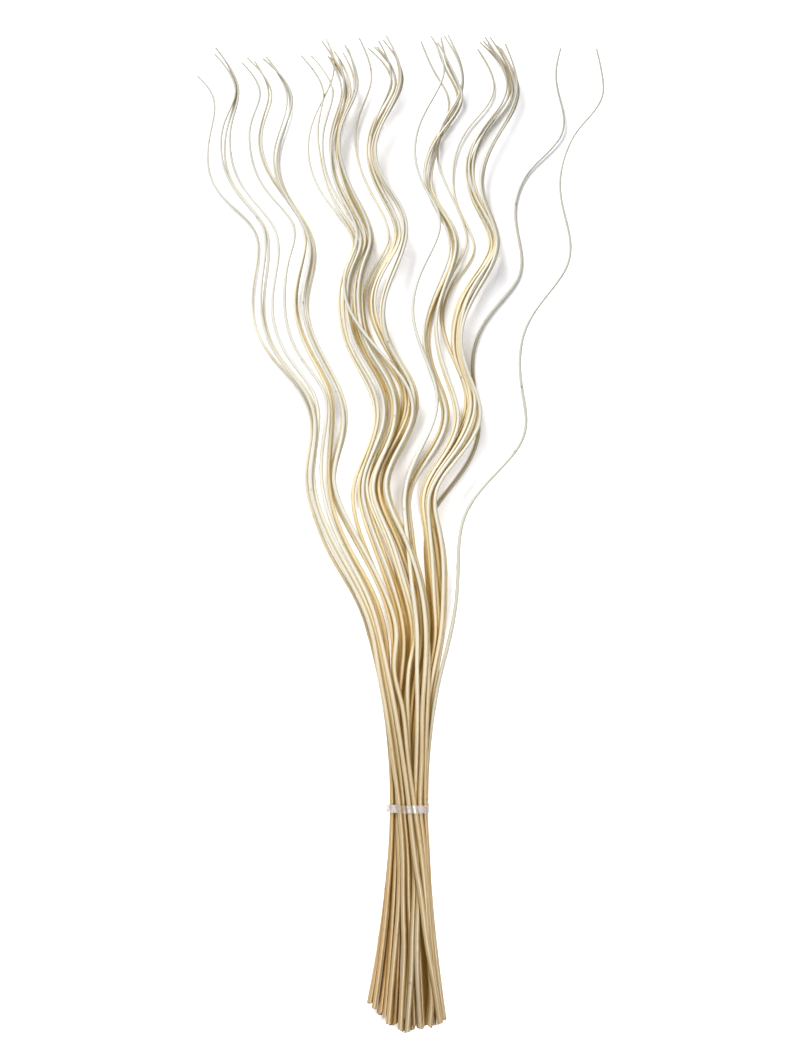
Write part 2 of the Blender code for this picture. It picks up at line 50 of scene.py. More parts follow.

# %% [markdown]
# ## Plain helpers
#
# Every piece here is worked out as arrays of places and faces, so one helper turns such arrays into an
# object. A second one ties the object to the frame: it rides on the part's one body, and the CAD nodes it
# stands in for are hidden.

# %% Making an object from arrays
def make_object(name, places, faces, material):
    """Put corner places in metres and lists of corner numbers into a new, smoothly shaded mesh."""
    mesh = bpy.data.meshes.new(name)
    mesh.from_pydata(places.tolist(), [], faces)
    mesh.materials.append(material)
    mesh.shade_smooth()
    piece = bpy.data.objects.new(name, mesh)
    bpy.context.scene.collection.objects.link(piece)
    return piece


def dress(piece, slot, *nodes):
    """Tie a finished piece to the frame, in place of the CAD nodes named."""
    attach(piece, "root")
    if nodes:
        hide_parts(*nodes)


# %% Keeping numbers on a surface
def keep_vectors(piece, name, values):
    """Store one three-number value for each corner, for the materials to read."""
    attribute = piece.data.attributes.new(name, "FLOAT_VECTOR", "POINT")
    attribute.data.foreach_set("vector", np.ascontiguousarray(values, np.float32).ravel())


# %% [markdown]
# ## Faces of a closed rod
#
# A rod is a stack of rings with the same number of corners. Neighbouring rings are joined by four-sided
# faces, and a fan of triangles closes each end on one middle corner, so that the skin has no hole. The
# corner numbers of the whole skin come from one grid of numbers, shifted by a row and by a column.

# %% Joining rings
def rod_faces(rings, sides):
    """Faces of a rod: quads between rings, and a fan at each end. The two middle corners come last."""
    grid = np.arange(rings * sides).reshape(rings, sides)
    beside = np.roll(grid, -1, axis=1)
    quads = np.stack([grid[:-1], grid[1:], beside[1:], beside[:-1]], axis=-1).reshape(-1, 4)
    first = np.full(sides, rings * sides)
    last = first + 1
    start_fan = np.stack([first, grid[0], beside[0]], axis=-1)
    end_fan = np.stack([last, beside[-1], grid[-1]], axis=-1)
    return quads.tolist() + start_fan.tolist() + end_fan.tolist()


# %% [markdown]
# ## The route of a stem
#
# A stem's bends are the character of curly willow, and they are already in the CAD model. Its corners,
# sorted along the bunch and taken five at a time, are the rings of the tube: the middle of a ring is a
# point of the route, and the corners' distance from it is the stem's radius there. A smooth curve through
# those points gives the fine stem the same course without the kinks.

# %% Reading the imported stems
CORNERS_A_RING = 5


def read_route(name):
    """Middles and radii of a packed stem's rings, from the cut end to the tip."""
    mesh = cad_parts[name].data
    corners = np.empty(3 * len(mesh.vertices), np.float32)
    mesh.vertices.foreach_get("co", corners)
    corners = np.unique(corners.reshape(-1, 3), axis=0).astype(float)
    rings = corners[np.argsort(corners[:, 1])].reshape(-1, CORNERS_A_RING, 3)
    middles = rings.mean(axis=1)
    radii = np.linalg.norm(rings - middles[:, None], axis=2).mean(axis=1)
    return middles, radii


# %% A smooth curve through points
def smooth_curve(knots, values, at):
    """Natural cubic spline, column by column: between two knots the line bends by the second slopes that
    make neighbouring pieces meet with the same slope, and both ends are left unbent."""
    gaps = np.diff(knots)[:, None]
    slopes = np.diff(values, axis=0) / gaps
    count = len(knots)
    inner = np.arange(1, count - 1)
    balance = np.eye(count)
    balance[inner, inner - 1] = gaps[:-1, 0]
    balance[inner, inner] = 2.0 * (gaps[:-1, 0] + gaps[1:, 0])
    balance[inner, inner + 1] = gaps[1:, 0]
    change = np.zeros_like(values)
    change[1:-1] = 6.0 * np.diff(slopes, axis=0)
    second = np.linalg.solve(balance, change)
    span = np.clip(np.searchsorted(knots, at) - 1, 0, count - 2)
    gap = gaps[span]
    left = (knots[span + 1] - at)[:, None] / gap
    right = 1.0 - left
    straight = left * values[span] + right * values[span + 1]
    bent = (left ** 3 - left) * second[span] + (right ** 3 - right) * second[span + 1]
    return straight + bent * gap ** 2 / 6.0


# %% All routes
routes = {name: read_route(name) for name in STEM_NAMES}
lengths = [np.linalg.norm(np.diff(middles, axis=0), axis=1).sum() for middles, _ in routes.values()]
print("stems are", round(min(lengths), 3), "to", round(max(lengths), 3), "m long along their bends")

# %% [markdown]
# ## Bud scars
#
# Peeling leaves a small dark scar, on a slight swelling, wherever a bud sat. On willow the buds climb the
# stem in a spiral of two turns for five buds, so each scar is turned 144 degrees from the last one. Only a
# few scars are dark, and most hardly show. Their places are drawn from a seeded generator, so that the
# script makes the same bunch each time. Three scars stand out dark on the real bunch. They lie on the
# upper side of single stems, and are given by how far beyond the tie they are.

# %% Scattering scars
SCAR_STEP = (38.0 * MM, 82.0 * MM)
SCAR_TURN = math.radians(144.0)
SCAR_FREE_TIP = 10.0 * MM
PALEST_SCAR = 0.05


def scatter_scars(length, draw):
    """Places along a stem, turns round it, and darkness of its scars."""
    steps = draw.uniform(*SCAR_STEP, size=int(length / SCAR_STEP[0]) + 1)
    places = np.cumsum(steps)
    places = places[places < length - SCAR_FREE_TIP]
    turns = draw.uniform(0.0, 2.0 * math.pi) + SCAR_TURN * np.arange(len(places))
    darkness = draw.uniform(PALEST_SCAR, 1.0, len(places)) ** 2
    return places, turns, darkness


# %% Scars that stand out
UP = 0.5 * math.pi
PLAIN_SCARS = {"stem_36": [0.737], "stem_47": [0.605], "stem_48": [0.421]}
print("scars that stand out are on", ", ".join(PLAIN_SCARS))

# %% [markdown]
# ## The fine stem
#
# A stem's skin is a function of two numbers: how far along the route, and how far round. The radius falls
# along the route as the CAD's does. It rises a little in shallow ribs, in slow uneven swells, and at each
# bud scar. Rings lie about 4 mm apart, with more of them round each scar, where the shape changes quickly.
# Shears cut both ends at a slant, so the last few rings lean. Each end is closed with three smaller rings,
# which gives the cut its edge and its pith.

# %% Rings along a stem
RING_STEP = 4.0 * MM
SCAR_LENGTH = 1.1 * MM
SCAR_RINGS = np.array([-1.6, -0.8, 0.0, 0.8, 1.6]) * SCAR_LENGTH
END_RINGS = np.array([0.0, 0.35, 1.2, 3.0]) * MM


def ring_places(length, scars):
    """Where along the stem its rings lie: evenly, closer round each scar, and close behind each cut."""
    even = np.linspace(0.0, length, int(length / RING_STEP))
    close = (scars[:, None] + SCAR_RINGS).ravel()
    places = np.sort(np.concatenate([even, close, END_RINGS, length - END_RINGS]))
    return places[np.diff(places, prepend=-1.0) > 0.1 * MM]


# %% Ways of a stem
def course_and_ways(knots, middles, radii, along):
    """Middles and radii at places along a stem, and its ways forward, sideways and upwards there.

    Forward leads from a millimetre behind a place to a millimetre ahead of it. Sideways is level and square
    to forward, and upwards is square to both.
    """
    course = smooth_curve(knots, np.column_stack([middles, radii]), along)
    ahead = smooth_curve(knots, middles, np.minimum(along + MM, knots[-1]))
    behind = smooth_curve(knots, middles, np.maximum(along - MM, 0.0))
    forward = ahead - behind
    forward /= np.linalg.norm(forward, axis=1)[:, None]
    sideways = np.cross(forward, (0.0, 0.0, 1.0))
    sideways /= np.linalg.norm(sideways, axis=1)[:, None]
    return course, forward, sideways, np.cross(sideways, forward)


# %% Ribs, swells and scars
RIB_HEIGHT = 0.014
RIB_TWIST = 4.0
SWELL_HEIGHT = 0.015
SWELL_LENGTHS = (31.0 * MM, 13.0 * MM)
SWELLING_HEIGHT = 0.04
SWELLING_LENGTH = 4.5 * MM
SCAR_HEIGHT = 0.16
SCAR_HALF_TURN = 0.42


def grow(along, around, scars, turns, draw):
    """Share by which each corner's radius has grown, and each scar's strength there.

    The share is one, plus three and five twisting ribs, plus two slow waves along the stem, plus a bell
    curve along it round each scar, plus the scar itself, a bell curve both along and round the stem. The
    fifth phase isn't used, and is drawn only so that the draws after it stay as they are.
    """
    phases = draw.uniform(0.0, 2.0 * math.pi, 5)
    twist = draw.uniform(-RIB_TWIST, RIB_TWIST) * along[:, None]
    ribs = np.sin(3.0 * around + phases[0] + twist) + 0.6 * np.sin(5.0 * around + phases[1] - 2.0 * twist)
    swells = np.sin(along / SWELL_LENGTHS[0] + phases[2]) + np.sin(along / SWELL_LENGTHS[1] + phases[3])
    from_scar = along[:, None] - scars
    swelling = np.exp(-(from_scar / SWELLING_LENGTH) ** 2).sum(axis=1)
    apart = np.angle(np.exp(1j * (around[None, :, None] - turns)))
    scar = np.exp(-(from_scar[:, None] / SCAR_LENGTH) ** 2 - (apart / SCAR_HALF_TURN) ** 2)
    growth = 1.0 + RIB_HEIGHT * ribs + (SWELL_HEIGHT * swells + SWELLING_HEIGHT * swelling)[:, None]
    return growth + SCAR_HEIGHT * scar.sum(axis=2), scar


# %% Slanting cuts
SLANT = (0.1, 0.75)
SLANT_REACH = 9.0 * MM


def slant_cuts(along, length, around, radius, draw):
    """How far corners near a cut lean along the stem: its slant times how far they lie to one side."""
    ways = draw.uniform(0.0, 2.0 * math.pi, 2)
    lean = np.zeros_like(radius)
    for way, from_cut in zip(ways, (along, length - along)):
        slant = draw.uniform(*SLANT)
        fade = np.clip(1.0 - from_cut / SLANT_REACH, 0.0, 1.0) ** 2
        lean += slant * fade[:, None] * radius * np.cos(around - way)
    return lean


# %% The skin of a stem
SIDES = 12
CAP_SHARES = np.array([0.22, 0.62, 0.95])


def stem_skin(middles, radii, plain_scars, draw):
    """Corner places, places on the straightened rod, and looks of one stem.

    A corner is the route's point, plus the radius times (cos round * sideways + sin round * upwards), plus
    the cut's lean along the route. Sideways and upwards are square to the route.
    """
    knots = np.concatenate([[0.0], np.cumsum(np.linalg.norm(np.diff(middles, axis=0), axis=1))])
    length = knots[-1]
    scars, turns, darkness = scatter_scars(length, draw)
    scars = np.append(scars, np.interp(plain_scars, middles[:, 1], knots))
    turns = np.append(turns, np.full(len(plain_scars), UP))
    darkness = np.append(darkness, np.ones(len(plain_scars)))
    along = ring_places(length, scars)
    share = np.concatenate([CAP_SHARES, np.ones(len(along)), CAP_SHARES[::-1]])
    along = np.concatenate([np.zeros(len(CAP_SHARES)), along, np.full(len(CAP_SHARES), length)])
    around = 2.0 * math.pi * np.arange(SIDES) / SIDES
    course, forward, sideways, upwards = course_and_ways(knots, middles, radii, along)
    growth, scar = grow(along, around, scars, turns, draw)
    radius = (course[:, 3] * share)[:, None] * growth
    lean = slant_cuts(along, length, around, radius, draw)
    cosine, sine = np.cos(around), np.sin(around)
    places = course[:, None, :3] + radius[..., None] * (
        cosine[None, :, None] * sideways[:, None] + sine[None, :, None] * upwards[:, None])
    places += lean[..., None] * forward[:, None]

    rod = np.stack([radius * cosine, radius * sine, np.repeat(along[:, None], SIDES, 1)], -1)
    looks = np.stack([np.repeat((along / length)[:, None], SIDES, 1), (darkness * scar).sum(axis=2),
                      np.repeat((1.0 - share)[:, None], SIDES, 1)], -1)
    ends = course[[0, -1], :3]
    rod_ends = np.array([(0.0, 0.0, 0.0), (0.0, 0.0, length)])
    look_ends = np.array([(0.0, 0.0, 1.0), (1.0, 0.0, 1.0)])
    return (np.vstack([places.reshape(-1, 3), ends]), np.vstack([rod.reshape(-1, 3), rod_ends]),
            np.vstack([looks.reshape(-1, 3), look_ends]), rod_faces(len(along), SIDES))


# %% [markdown]
# ## How crowded the stems are
#
# Where peeled stems lie against each other, less light reaches the wood between them, and only after it has
# struck other stems, so that wood is painted a darker gold as shade. Each corner of a skin keeps how much of
# the sky the other stems hide from it. All the stems run roughly along the bunch, so it is enough to look in
# the slice across the bunch at the corner's own level, where each stem hides one span of directions.
#
# Two more numbers are kept, both for painted shade. The thick ends on the left are painted browner than the
# rest, as shade. Above the tie, stems that lie by themselves are painted greyer, as shade along their thin
# sides, and the two loners on the right are painted greyest.

# %% Every stem's slice at every level
LEVELS = np.arange(-0.24, 0.80, MM)
FAR_AWAY = (9.0, 9.0, MM)


def slice_course(middles, radii):
    """Place across, height and radius of a stem at each level, and a place far away where it has ended."""
    inside = (LEVELS >= middles[0, 1]) & (LEVELS <= middles[-1, 1])
    course = smooth_curve(middles[:, 1], np.column_stack([middles[:, 0], middles[:, 2], radii]), LEVELS)
    return np.where(inside[:, None], course, FAR_AWAY)


slices = np.stack([slice_course(*route) for route in routes.values()])
print(len(slices), "stems cut at", len(LEVELS), "levels")

# %% Sky hidden from a skin's corners
SKY_WAYS = np.linspace(0.04, 0.96, 24) * math.pi


def crowding(places, own):
    """Share of the sky that the other stems hide from each corner, from 0 to 1.

    A stem whose middle is a distance d away hides the directions within arcsin(radius / d) of its own.
    Directions count by the sine of their height, as the sky's light on level ground does.
    """
    level = np.clip(np.rint((places[:, 1] - LEVELS[0]) / MM).astype(int), 0, len(LEVELS) - 1)
    x, z, radius = np.moveaxis(np.delete(slices, own, axis=0)[:, level], -1, 0)
    across, above = x - places[:, 0], z - places[:, 2]
    way = np.arctan2(above, across)
    half_span = np.arcsin(np.clip(radius / np.hypot(across, above), 0.0, 1.0))
    weights = np.sin(SKY_WAYS) / np.sin(SKY_WAYS).sum()
    return sum(weight * (np.abs(way - sky_way) < half_span).any(axis=0)
               for sky_way, weight in zip(SKY_WAYS, weights))


# %% Painted shade on the left flank of the thick ends and on lone stems
LONERS = ("stem_47", "stem_48")
LONER_SHADE_GREY, ALONE_SHADE_GREY = 0.65, 0.3
FLANK_SHADE_AMOUNT = 0.75


def share_between(start, end, values):
    """How far each value has come on the way from start to end, from 0 to 1."""
    return np.clip((values - start) / (end - start), 0.0, 1.0)


def painted_flank_shade(places):
    """How much painted shade browns each corner: it grows to the left, times how it grows towards the cut
    ends.
    """
    x, y = places[:, 0], places[:, 1]
    return FLANK_SHADE_AMOUNT * share_between(-5.0 * MM, -23.0 * MM, x) * share_between(50.0 * MM, -70.0 * MM, y)


def painted_lone_stem_shade(name, places, crowd):
    """How much painted shade greys each corner: even all over a loner, and elsewhere more the freer and
    higher it is.
    """
    if name in LONERS:
        return np.full_like(crowd, LONER_SHADE_GREY)
    return ALONE_SHADE_GREY * share_between(0.25, 0.0, crowd) * share_between(150.0 * MM, 300.0 * MM, places[:, 1])


# %% [markdown]
# ## Node helpers
#
# Materials are built in code from shader nodes. These few helpers keep each material's function short:
# they add a node with its plain values, read and split the numbers that a skin keeps, stretch a number
# to another range, mix two colours, draw grain, and raise the grain a little with a bump.

# %% Small tools for materials
def new_material(name):
    """A new material with its node tree, and its Principled shader."""
    material = bpy.data.materials.new(name)
    material.use_nodes = True
    return material, material.node_tree, material.node_tree.nodes["Principled BSDF"]


def add_node(tree, kind, inputs=None, **settings):
    """A node with its settings and plain input values."""
    node = tree.nodes.new(kind)
    for key, value in settings.items():
        setattr(node, key, value)
    for key, value in (inputs or {}).items():
        node.inputs[key].default_value = value
    return node


def kept(tree, name):
    """The three numbers that a skin keeps under a name."""
    return add_node(tree, "ShaderNodeAttribute", attribute_name=name).outputs["Vector"]


def split(tree, place):
    """The three parts of a place."""
    node = add_node(tree, "ShaderNodeSeparateXYZ")
    tree.links.new(place, node.inputs["Vector"])
    return node.outputs


def stretch(tree, source, low, high, from_low=0.0, from_high=1.0):
    """Move a number that runs from from_low to from_high to the range from low to high."""
    node = add_node(tree, "ShaderNodeMapRange", {
        "From Min": from_low, "From Max": from_high, "To Min": low, "To Max": high})
    tree.links.new(source, node.inputs["Value"])
    return node.outputs["Result"]


def calculate(tree, operation, first, second, add=0.0, clamp=False):
    """Add, multiply or compare two numbers. MULTIPLY_ADD also adds a third, plain one. The second number
    may be a socket or a plain one too."""
    node = add_node(tree, "ShaderNodeMath", {2: add}, operation=operation, use_clamp=clamp)
    tree.links.new(first, node.inputs[0])
    if isinstance(second, bpy.types.NodeSocket):
        tree.links.new(second, node.inputs[1])
    else:
        node.inputs[1].default_value = second
    return node.outputs["Value"]


# %% Colours and grain
def mix_colours(tree, share, low, high, blend="MIX"):
    """Mix two colours by a share. Each may be a plain value or a socket."""
    node = add_node(tree, "ShaderNodeMix", data_type="RGBA", blend_type=blend, clamp_factor=True)
    for socket, value in ((node.inputs[0], share), (node.inputs[6], low), (node.inputs[7], high)):
        if isinstance(value, bpy.types.NodeSocket):
            tree.links.new(value, socket)
        else:
            socket.default_value = value
    return node.outputs[2]


def grain(tree, place, size, detail, rough=0.5):
    """Noise on a stretched place: size is the scale along each of the place's three ways."""
    mapping = add_node(tree, "ShaderNodeMapping", {"Scale": size})
    noise = add_node(tree, "ShaderNodeTexNoise", {"Scale": 1.0, "Detail": detail, "Roughness": rough})
    tree.links.new(place, mapping.inputs["Vector"])
    tree.links.new(mapping.outputs["Vector"], noise.inputs["Vector"])
    return noise.outputs["Fac"]


def ramp(tree, source, stops):
    """Turn a number into a colour by a list of (place, colour) stops."""
    node = add_node(tree, "ShaderNodeValToRGB")
    elements = node.color_ramp.elements
    elements[0].position, elements[1].position = stops[0][0], stops[-1][0]
    for place, _ in stops[1:-1]:
        elements.new(place)
    for element, (_, colour) in zip(elements, stops):
        element.color = (*colour, 1.0)
    tree.links.new(source, node.inputs["Fac"])
    return node.outputs["Color"]


def raise_grain(tree, shader, height, strength, distance):
    """Bump a shader's surface by a height."""
    bump = add_node(tree, "ShaderNodeBump", {"Strength": strength, "Distance": distance})
    tree.links.new(height, bump.inputs["Height"])
    tree.links.new(bump.outputs["Normal"], shader.inputs["Normal"])


# %% [markdown]
# ## Peeled willow
#
# Peeled willow is bare wood. Its thick end is the colour of straw, its upper part has bleached almost white,
# and its thin tip is greyish. Part of that change along the stem is painted shade and painted light: the
# colour is painted darker towards the cut ends, where the light is weaker, and paler higher up, where it is
# stronger. Gold comes and goes in patches, most of all in the thick half. Fine fibres run along it, and it
# has a low satin shine. A pattern in plain object space would cut across the bends, so the skin keeps where
# each corner would lie if the stem were pulled straight, and all the grain is drawn in that straightened
# space.
#
# Where stems crowd each other the wood is tinted deeper gold, as painted shade. Light also goes on from stem
# to stem and a little way through the wood. The shader leaves the second out, so the most crowded wood gives
# off a very faint golden glow instead, which is painted light.

# %% Colours of willow
# Colour from the cut end to the tip: the wood's own colour, painted darker towards the cut end as shade and
# paler higher up as light.
WOOD_AND_LIGHT_ALONG_STEM = [
    (0.0, (0.31, 0.255, 0.17)),
    (0.15, (0.335, 0.28, 0.19)),
    (0.27, (0.395, 0.34, 0.245)),
    (0.38, (0.57, 0.53, 0.435)),
    (0.52, (0.675, 0.665, 0.61)),
    (0.85, (0.625, 0.625, 0.595)),
    (1.0, (0.42, 0.41, 0.37)),
]
GOLDEN = (0.95, 0.83, 0.62, 1.0)
# Painted shade on the left flank of the thick ends.
FLANK_SHADE_BROWN = (0.34, 0.24, 0.12, 1.0)
# Painted shade on stems that lie by themselves, the loners most.
LONE_STEM_SHADE_GREY = (0.34, 0.335, 0.29, 1.0)
SCAR_BROWN = (0.10, 0.055, 0.03, 1.0)
# Painted shade: the wood is tinted darker gold where other stems hide the sky.
PAINTED_SHADE_BETWEEN_STEMS = [
    (0.1, (1.0, 1.0, 1.0)),
    (0.35, (0.97, 0.89, 0.71)),
    (0.6, (0.92, 0.77, 0.48)),
    (1.0, (0.92, 0.68, 0.31)),
]
NEST_GLOW = [(0.5, (0.0, 0.0, 0.0)), (1.0, (0.08, 0.056, 0.02))]
FIBRE_SHADE = [(0.3, (0.86, 0.84, 0.80)), (0.7, (1.0, 1.0, 1.0))]
CUT_FACE = [
    (0.0, (0.34, 0.24, 0.14)),
    (0.08, (0.62, 0.50, 0.32)),
    (0.60, (0.66, 0.55, 0.37)),
    (0.85, (0.40, 0.28, 0.17)),
    (1.0, (0.30, 0.20, 0.12)),
]

# %% Bare wood
PATCH_GRAIN = (90.0, 90.0, 14.0)
GOLD_OF_PATCH, GOLD_OF_TONE, LEAST_GOLD = 0.9, 0.55, -0.35
GOLD_AT_TIP = 0.2


def bare_wood(tree, place, along, fibres, tone):
    """Colour of a free, unmarked stem: the ramp along it, gilded in patches, and shaded by its fibres.

    The gold is a share of the patches' noise, plus a share of the stem's tone, less a constant. It fades
    from a quarter of the way up the stem to a little past the middle, and a fifth of it is left there.
    """
    patches = grain(tree, place, PATCH_GRAIN, 3.0)
    stem_gold = GOLD_OF_TONE * tone + LEAST_GOLD
    gold = calculate(tree, "MULTIPLY_ADD", patches, GOLD_OF_PATCH, add=stem_gold, clamp=True)
    gilt = calculate(tree, "MULTIPLY", gold, stretch(tree, along, 1.0, GOLD_AT_TIP, 0.25, 0.55))
    # The ramp along the stem holds painted shade low down and painted light higher up, on top of the wood's
    # own colour.
    base = mix_colours(tree, gilt, ramp(tree, along, WOOD_AND_LIGHT_ALONG_STEM), GOLDEN, blend="MULTIPLY")
    return mix_colours(tree, 1.0, base, ramp(tree, fibres, FIBRE_SHADE), blend="MULTIPLY")


# %% The wood material
FIBRE_GRAIN = (1400.0, 1400.0, 30.0)
ON_THE_CUT = 0.02


def willow_wood(name, tone):
    """Wood for one stem. tone, from 0 to 1, leans it from pale straw to gold."""
    material, tree, shader = new_material(name)
    place = kept(tree, "rod")
    along, scar, on_cut = split(tree, kept(tree, "looks"))
    crowd, brown, grey = split(tree, kept(tree, "crowd"))
    fibres = grain(tree, place, FIBRE_GRAIN, 4.0, 0.6)
    base = bare_wood(tree, place, along, fibres, tone)
    # Painted shade: browner on the left flank of the thick ends.
    base = mix_colours(tree, brown, base, FLANK_SHADE_BROWN)
    # Painted shade: greyer on stems that lie by themselves.
    base = mix_colours(tree, grey, base, LONE_STEM_SHADE_GREY)
    # Painted shade: deeper gold where other stems hide the sky.
    base = mix_colours(tree, 1.0, base, ramp(tree, crowd, PAINTED_SHADE_BETWEEN_STEMS), blend="MULTIPLY")
    base = mix_colours(tree, scar, base, SCAR_BROWN)
    is_cut = calculate(tree, "GREATER_THAN", on_cut, ON_THE_CUT)
    base = mix_colours(tree, is_cut, base, ramp(tree, on_cut, CUT_FACE))
    tree.links.new(base, shader.inputs["Base Color"])
    tree.links.new(stretch(tree, fibres, 0.34, 0.52), shader.inputs["Roughness"])
    raise_grain(tree, shader, fibres, 0.35, 0.08 * MM)
    shader.inputs["Specular IOR Level"].default_value = 0.7
    tree.links.new(ramp(tree, crowd, NEST_GLOW), shader.inputs["Emission Color"])
    shader.inputs["Emission Strength"].default_value = 1.0
    material.cycles.emission_sampling = "NONE"
    return material


# %% [markdown]
# ## Dressing every stem
#
# Each stem gets its own generator, seeded by its number, so no two are alike, and one of six tones of
# wood. The straightened places are moved apart from stem to stem, or all would show the same grain.

# %% Making the stems
WOODS = [willow_wood(f"peeled_willow_{number}", number / 5.0) for number in range(6)]
skins = 0
for number, name in enumerate(STEM_NAMES, start=1):
    draw = np.random.default_rng(number)
    places, rod, looks, faces = stem_skin(*routes[name], PLAIN_SCARS.get(name, []), draw)
    piece = make_object(f"{name}_fine", places, faces, WOODS[draw.integers(len(WOODS))])
    keep_vectors(piece, "rod", rod + draw.uniform(0.0, 5.0, 3))
    keep_vectors(piece, "looks", looks)
    # The three numbers kept as crowd are masks for painted shade: between stems, on the left flank of the
    # thick ends, and on lone stems.
    crowd = crowding(places, number - 1)
    wood = np.stack([crowd, painted_flank_shade(places), painted_lone_stem_shade(name, places, crowd)], axis=-1)
    keep_vectors(piece, "crowd", wood)
    dress(piece, "peeled_willow", name)
    skins += len(faces)
print(len(STEM_NAMES), "stems dressed with", skins, "faces")

# %% [markdown]
# ## The line of the taut tape
#
# Taut tape touches the outer stems and runs straight from one to the next. For a direction square to the
# bunch, the stem that reaches furthest that way is the one it touches. Asking this for many directions in
# turn gives the touching points in order, and evenly spaced points along the line through them follow.

# %% Where the tape runs
TAPE_OUT = 1.12 * MM
TAPE_IN = 0.55 * MM
TAPE_WIDTH = 8.0 * MM
TAPE_POINTS = 320
at_tie = np.array([[np.interp(0.0, middles[:, 1], column) for column in (middles[:, 0], middles[:, 2], radii)]
                   for middles, radii in routes.values()])


def taut_line(clear, count):
    """Closed line round all stems at the tie, clear of them, as count even points from the lowest side."""
    turns = 2.0 * math.pi * np.arange(720) / 720.0 - math.pi / 2.0
    ways = np.stack([np.cos(turns), np.sin(turns)], axis=1)
    reach = at_tie[:, :2] @ ways.T + at_tie[:, 2:]
    touched = reach.argmax(axis=0)
    line = at_tie[touched, :2] + (at_tie[touched, 2] + clear)[:, None] * ways
    line = np.vstack([line, line[:1]])
    run = np.concatenate([[0.0], np.cumsum(np.linalg.norm(np.diff(line, axis=0), axis=1))])
    even = run[-1] * np.arange(count) / count
    return np.column_stack([np.interp(even, run, line[:, 0]), np.interp(even, run, line[:, 1])]), run[-1]


outer_line, tape_round = taut_line(TAPE_OUT, TAPE_POINTS)
print("the tape runs", round(tape_round / MM, 1), "mm round the bunch")

# %% [markdown]
# ## The clear tape
#
# The tape is soft film wound a few times and pulled tight. It bridges the hollows between stems, its edges
# don't quite lie over each other, and small crinkles run across it. The band is a closed loop of a flat
# cross-section. Crinkles move its outer side in and out, and its two edges wander. Some patches of the film
# are hazy, where turns of tape lie loosely over each other, and one narrow slanting patch is a painted
# highlight. Each corner keeps how hazy it is, the painted highlight included.

# %% Waves and haze
CLEAR_HAZE = 0.13
HAZE_SLANT = 0.25
HAZE_AND_HIGHLIGHT_PATCHES = [  # middle across the bunch, half width, and how much haze
    (-16.0 * MM, 4.0 * MM, 0.26),
    (-0.5 * MM, 1.6 * MM, 0.28),
    # Painted highlight: a narrow whitish streak across the tape, not haze.
    (5.5 * MM, 0.9 * MM, 0.5),
    (12.0 * MM, 4.5 * MM, 0.26),
    (19.0 * MM, 2.0 * MM, 0.2),
]


def waves(turns, draw, counts):
    """Mean of sine waves round the band with random phases, one for each number of waves given."""
    phases = draw.uniform(0.0, 2.0 * math.pi, len(counts))
    return sum(np.sin(count * turns + phase) for count, phase in zip(counts, phases)) / len(counts)


def film_haze_and_highlight(x, y):
    """How hazy the film is, with a painted highlight in one patch: a clear base, and a slanting bell curve
    across the bunch for each patch.
    """
    place = x + HAZE_SLANT * y
    return CLEAR_HAZE + sum(amount * np.exp(-((place - middle) / half_width) ** 2)
                            for middle, half_width, amount in HAZE_AND_HIGHLIGHT_PATCHES)


# %% The band
ACROSS = np.array([-1.0, -0.93, -0.6, -0.25, 0.0, 0.25, 0.6, 0.93, 1.0])
EDGE_WANDER = 0.07


def band_faces(rows, columns):
    """Faces of a ring-shaped solid: the grid closes on itself both ways."""
    grid = np.arange(rows * columns).reshape(rows, columns)
    down = np.roll(grid, -1, axis=0)
    return np.stack([grid, np.roll(grid, -1, axis=1), np.roll(down, -1, axis=1), down], -1).reshape(-1, 4)


def band_skin(draw):
    """Corner places of the band, and its flat places: how far round, how far across, and how hazy, the
    painted highlight included.
    """
    inner_line, _ = taut_line(TAPE_IN, TAPE_POINTS)
    turns = 2.0 * math.pi * np.arange(TAPE_POINTS) / TAPE_POINTS
    crinkle = np.stack([waves(turns, draw, (9, 14, 23)) for _ in ACROSS], axis=1)
    crinkle += 0.8 * waves(turns, draw, (11, 19, 31))[:, None]
    depth = np.clip(0.5 + 0.2 * crinkle, 0.0, 0.8)[..., None]
    outer = outer_line[:, None] * (1.0 - depth * 0.5) + inner_line[:, None] * depth * 0.5
    inner = np.repeat(inner_line[:, None], len(ACROSS), axis=1)
    left_edge = 0.5 * TAPE_WIDTH * (1.0 + EDGE_WANDER * waves(turns, draw, (2, 5, 9)))
    right_edge = 0.5 * TAPE_WIDTH * (1.0 + EDGE_WANDER * waves(turns, draw, (3, 7, 11)))
    across = np.where(ACROSS < 0.0, left_edge[:, None] * ACROSS, right_edge[:, None] * ACROSS)
    loop = np.concatenate([outer, inner[:, ::-1]], axis=1)
    y = np.concatenate([across, 0.97 * across[:, ::-1]], axis=1)
    places = np.stack([loop[..., 0], y, loop[..., 1]], axis=-1)
    round_the_band = np.repeat((tape_round * turns / (2.0 * math.pi))[:, None], y.shape[1], axis=1)
    flat = np.stack([round_the_band, y, film_haze_and_highlight(loop[..., 0], y)], axis=-1)
    return places.reshape(-1, 3), flat.reshape(-1, 3), band_faces(TAPE_POINTS, y.shape[1]).tolist()


# %% [markdown]
# ## Clear film
#
# Clear tape is nearly see-through where it lies flat, and whitish where it is loose or doubled. The shader is
# glossy, and its opacity is the haze that each corner keeps, made uneven by noise; one narrow patch of that
# haze is a painted highlight. The hazier the film is, the paler it is too: a clear patch looks lilac-grey,
# and a hazy one nearly white.

# %% The film material
FILM_GRAIN = (190.0, 120.0, 1.0)
FILM_TINT = [(0.25, (0.48, 0.43, 0.43)), (0.8, (0.84, 0.82, 0.83))]


